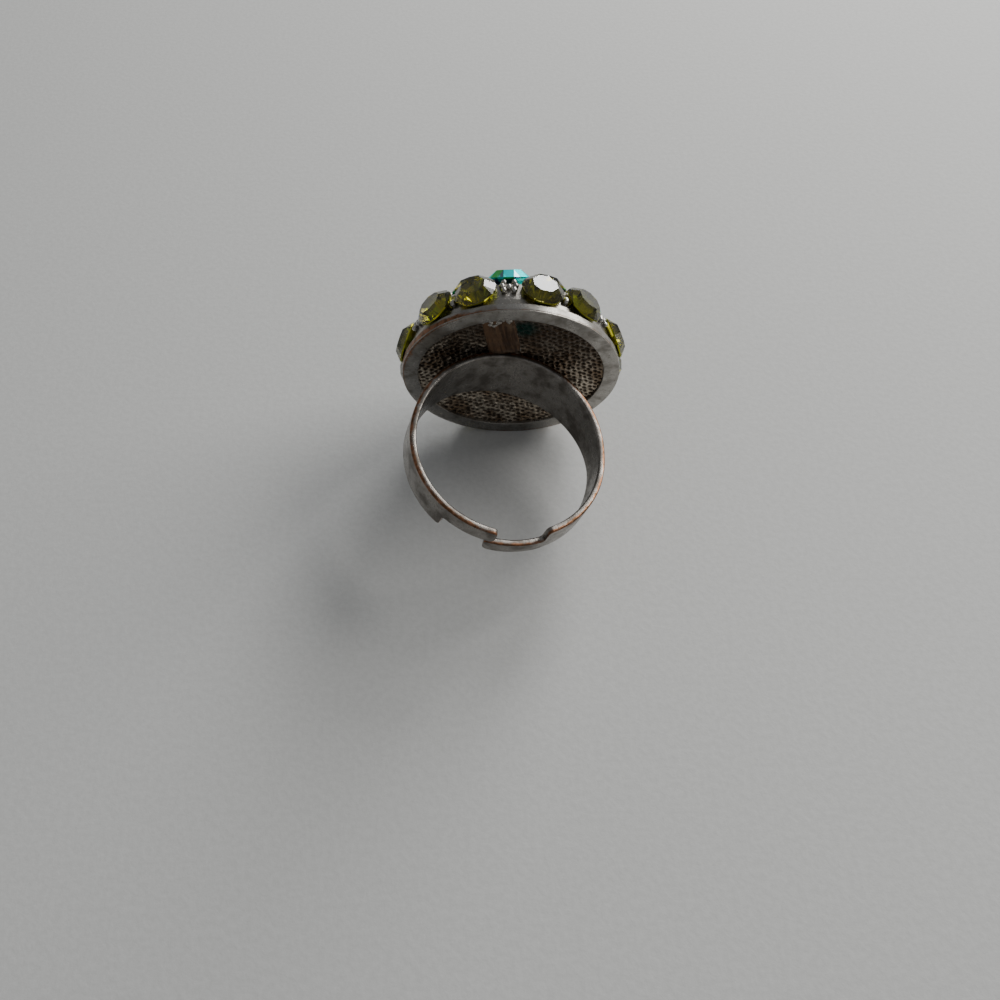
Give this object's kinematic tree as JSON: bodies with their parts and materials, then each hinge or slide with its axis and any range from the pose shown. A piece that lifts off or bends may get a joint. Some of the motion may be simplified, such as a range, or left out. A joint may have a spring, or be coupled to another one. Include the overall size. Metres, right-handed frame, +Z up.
{
  "type": "cocktail ring",
  "caption": "Adjustable cocktail ring: a domed round head set with faceted crystals on a split strip band, lying on its side.",
  "frame": {"origin": "on the table, under the centre of the bounding box, with the ring lying on the side of its head", "axes": "+Z up from the table; the head is towards +Y and the hoop towards -Y, clear of the table; X is level"},
  "size_m": [0.0238, 0.0288, 0.0231],
  "materials": {
    "plated_metal": "gunmetal-toned plating over base metal, tarnished, worn to copper colour along the edges",
    "olive_crystal": "faceted olive green glass with a foil-backed pavilion",
    "aurora_crystal": "faceted glass with an iridescent teal to green coating and a foil-backed pavilion",
    "solder": "dull grey solder"
  },
  "bodies": {
    "head": {"aurora_crystal_1": "aurora_crystal", "aurora_crystal_2": "aurora_crystal", "aurora_crystal_3": "aurora_crystal", "aurora_crystal_4": "aurora_crystal", "aurora_crystal_5": "aurora_crystal", "aurora_crystal_6": "aurora_crystal", "aurora_crystal_centre": "aurora_crystal", "head_casting": "plated_metal", "olive_crystal_inner_1": "olive_crystal", "olive_crystal_inner_2": "olive_crystal", "olive_crystal_inner_3": "olive_crystal", "olive_crystal_inner_4": "olive_crystal", "olive_crystal_inner_5": "olive_crystal", "olive_crystal_inner_6": "olive_crystal", "olive_crystal_outer_01": "olive_crystal", "olive_crystal_outer_02": "olive_crystal", "olive_crystal_outer_03": "olive_crystal", "olive_crystal_outer_04": "olive_crystal", "olive_crystal_outer_05": "olive_crystal", "olive_crystal_outer_06": "olive_crystal", "olive_crystal_outer_07": "olive_crystal", "olive_crystal_outer_08": "olive_crystal", "olive_crystal_outer_09": "olive_crystal", "olive_crystal_outer_10": "olive_crystal", "olive_crystal_outer_11": "olive_crystal", "olive_crystal_outer_12": "olive_crystal", "olive_crystal_upper_1": "olive_crystal", "olive_crystal_upper_2": "olive_crystal", "olive_crystal_upper_3": "olive_crystal", "olive_crystal_upper_4": "olive_crystal", "olive_crystal_upper_5": "olive_crystal", "olive_crystal_upper_6": "olive_crystal", "shank_saddle": "plated_metal", "solder_joint": "solder"},
    "left_arm": {"shank_left_arm": "plated_metal"},
    "right_arm": {"shank_right_arm": "plated_metal"}
  },
  "joints": [
    {"name": "left_arm_flex", "type": "hinge", "parent": "head", "child": "left_arm", "pos_m": [-0.00735, 0.00213, 0.01258], "axis": [0.2756, -0.1691, 0.9463], "range_deg": [-6, 7]},
    {"name": "right_arm_flex", "type": "hinge", "parent": "head", "child": "right_arm", "pos_m": [0.0058, 0.00279, 0.00887], "axis": [0.2756, -0.1691, 0.9463], "range_deg": [-7, 6]}
  ],
  "couplings": [
    {"joint": "right_arm_flex", "follows": "left_arm_flex", "ratio": -1}
  ]
}
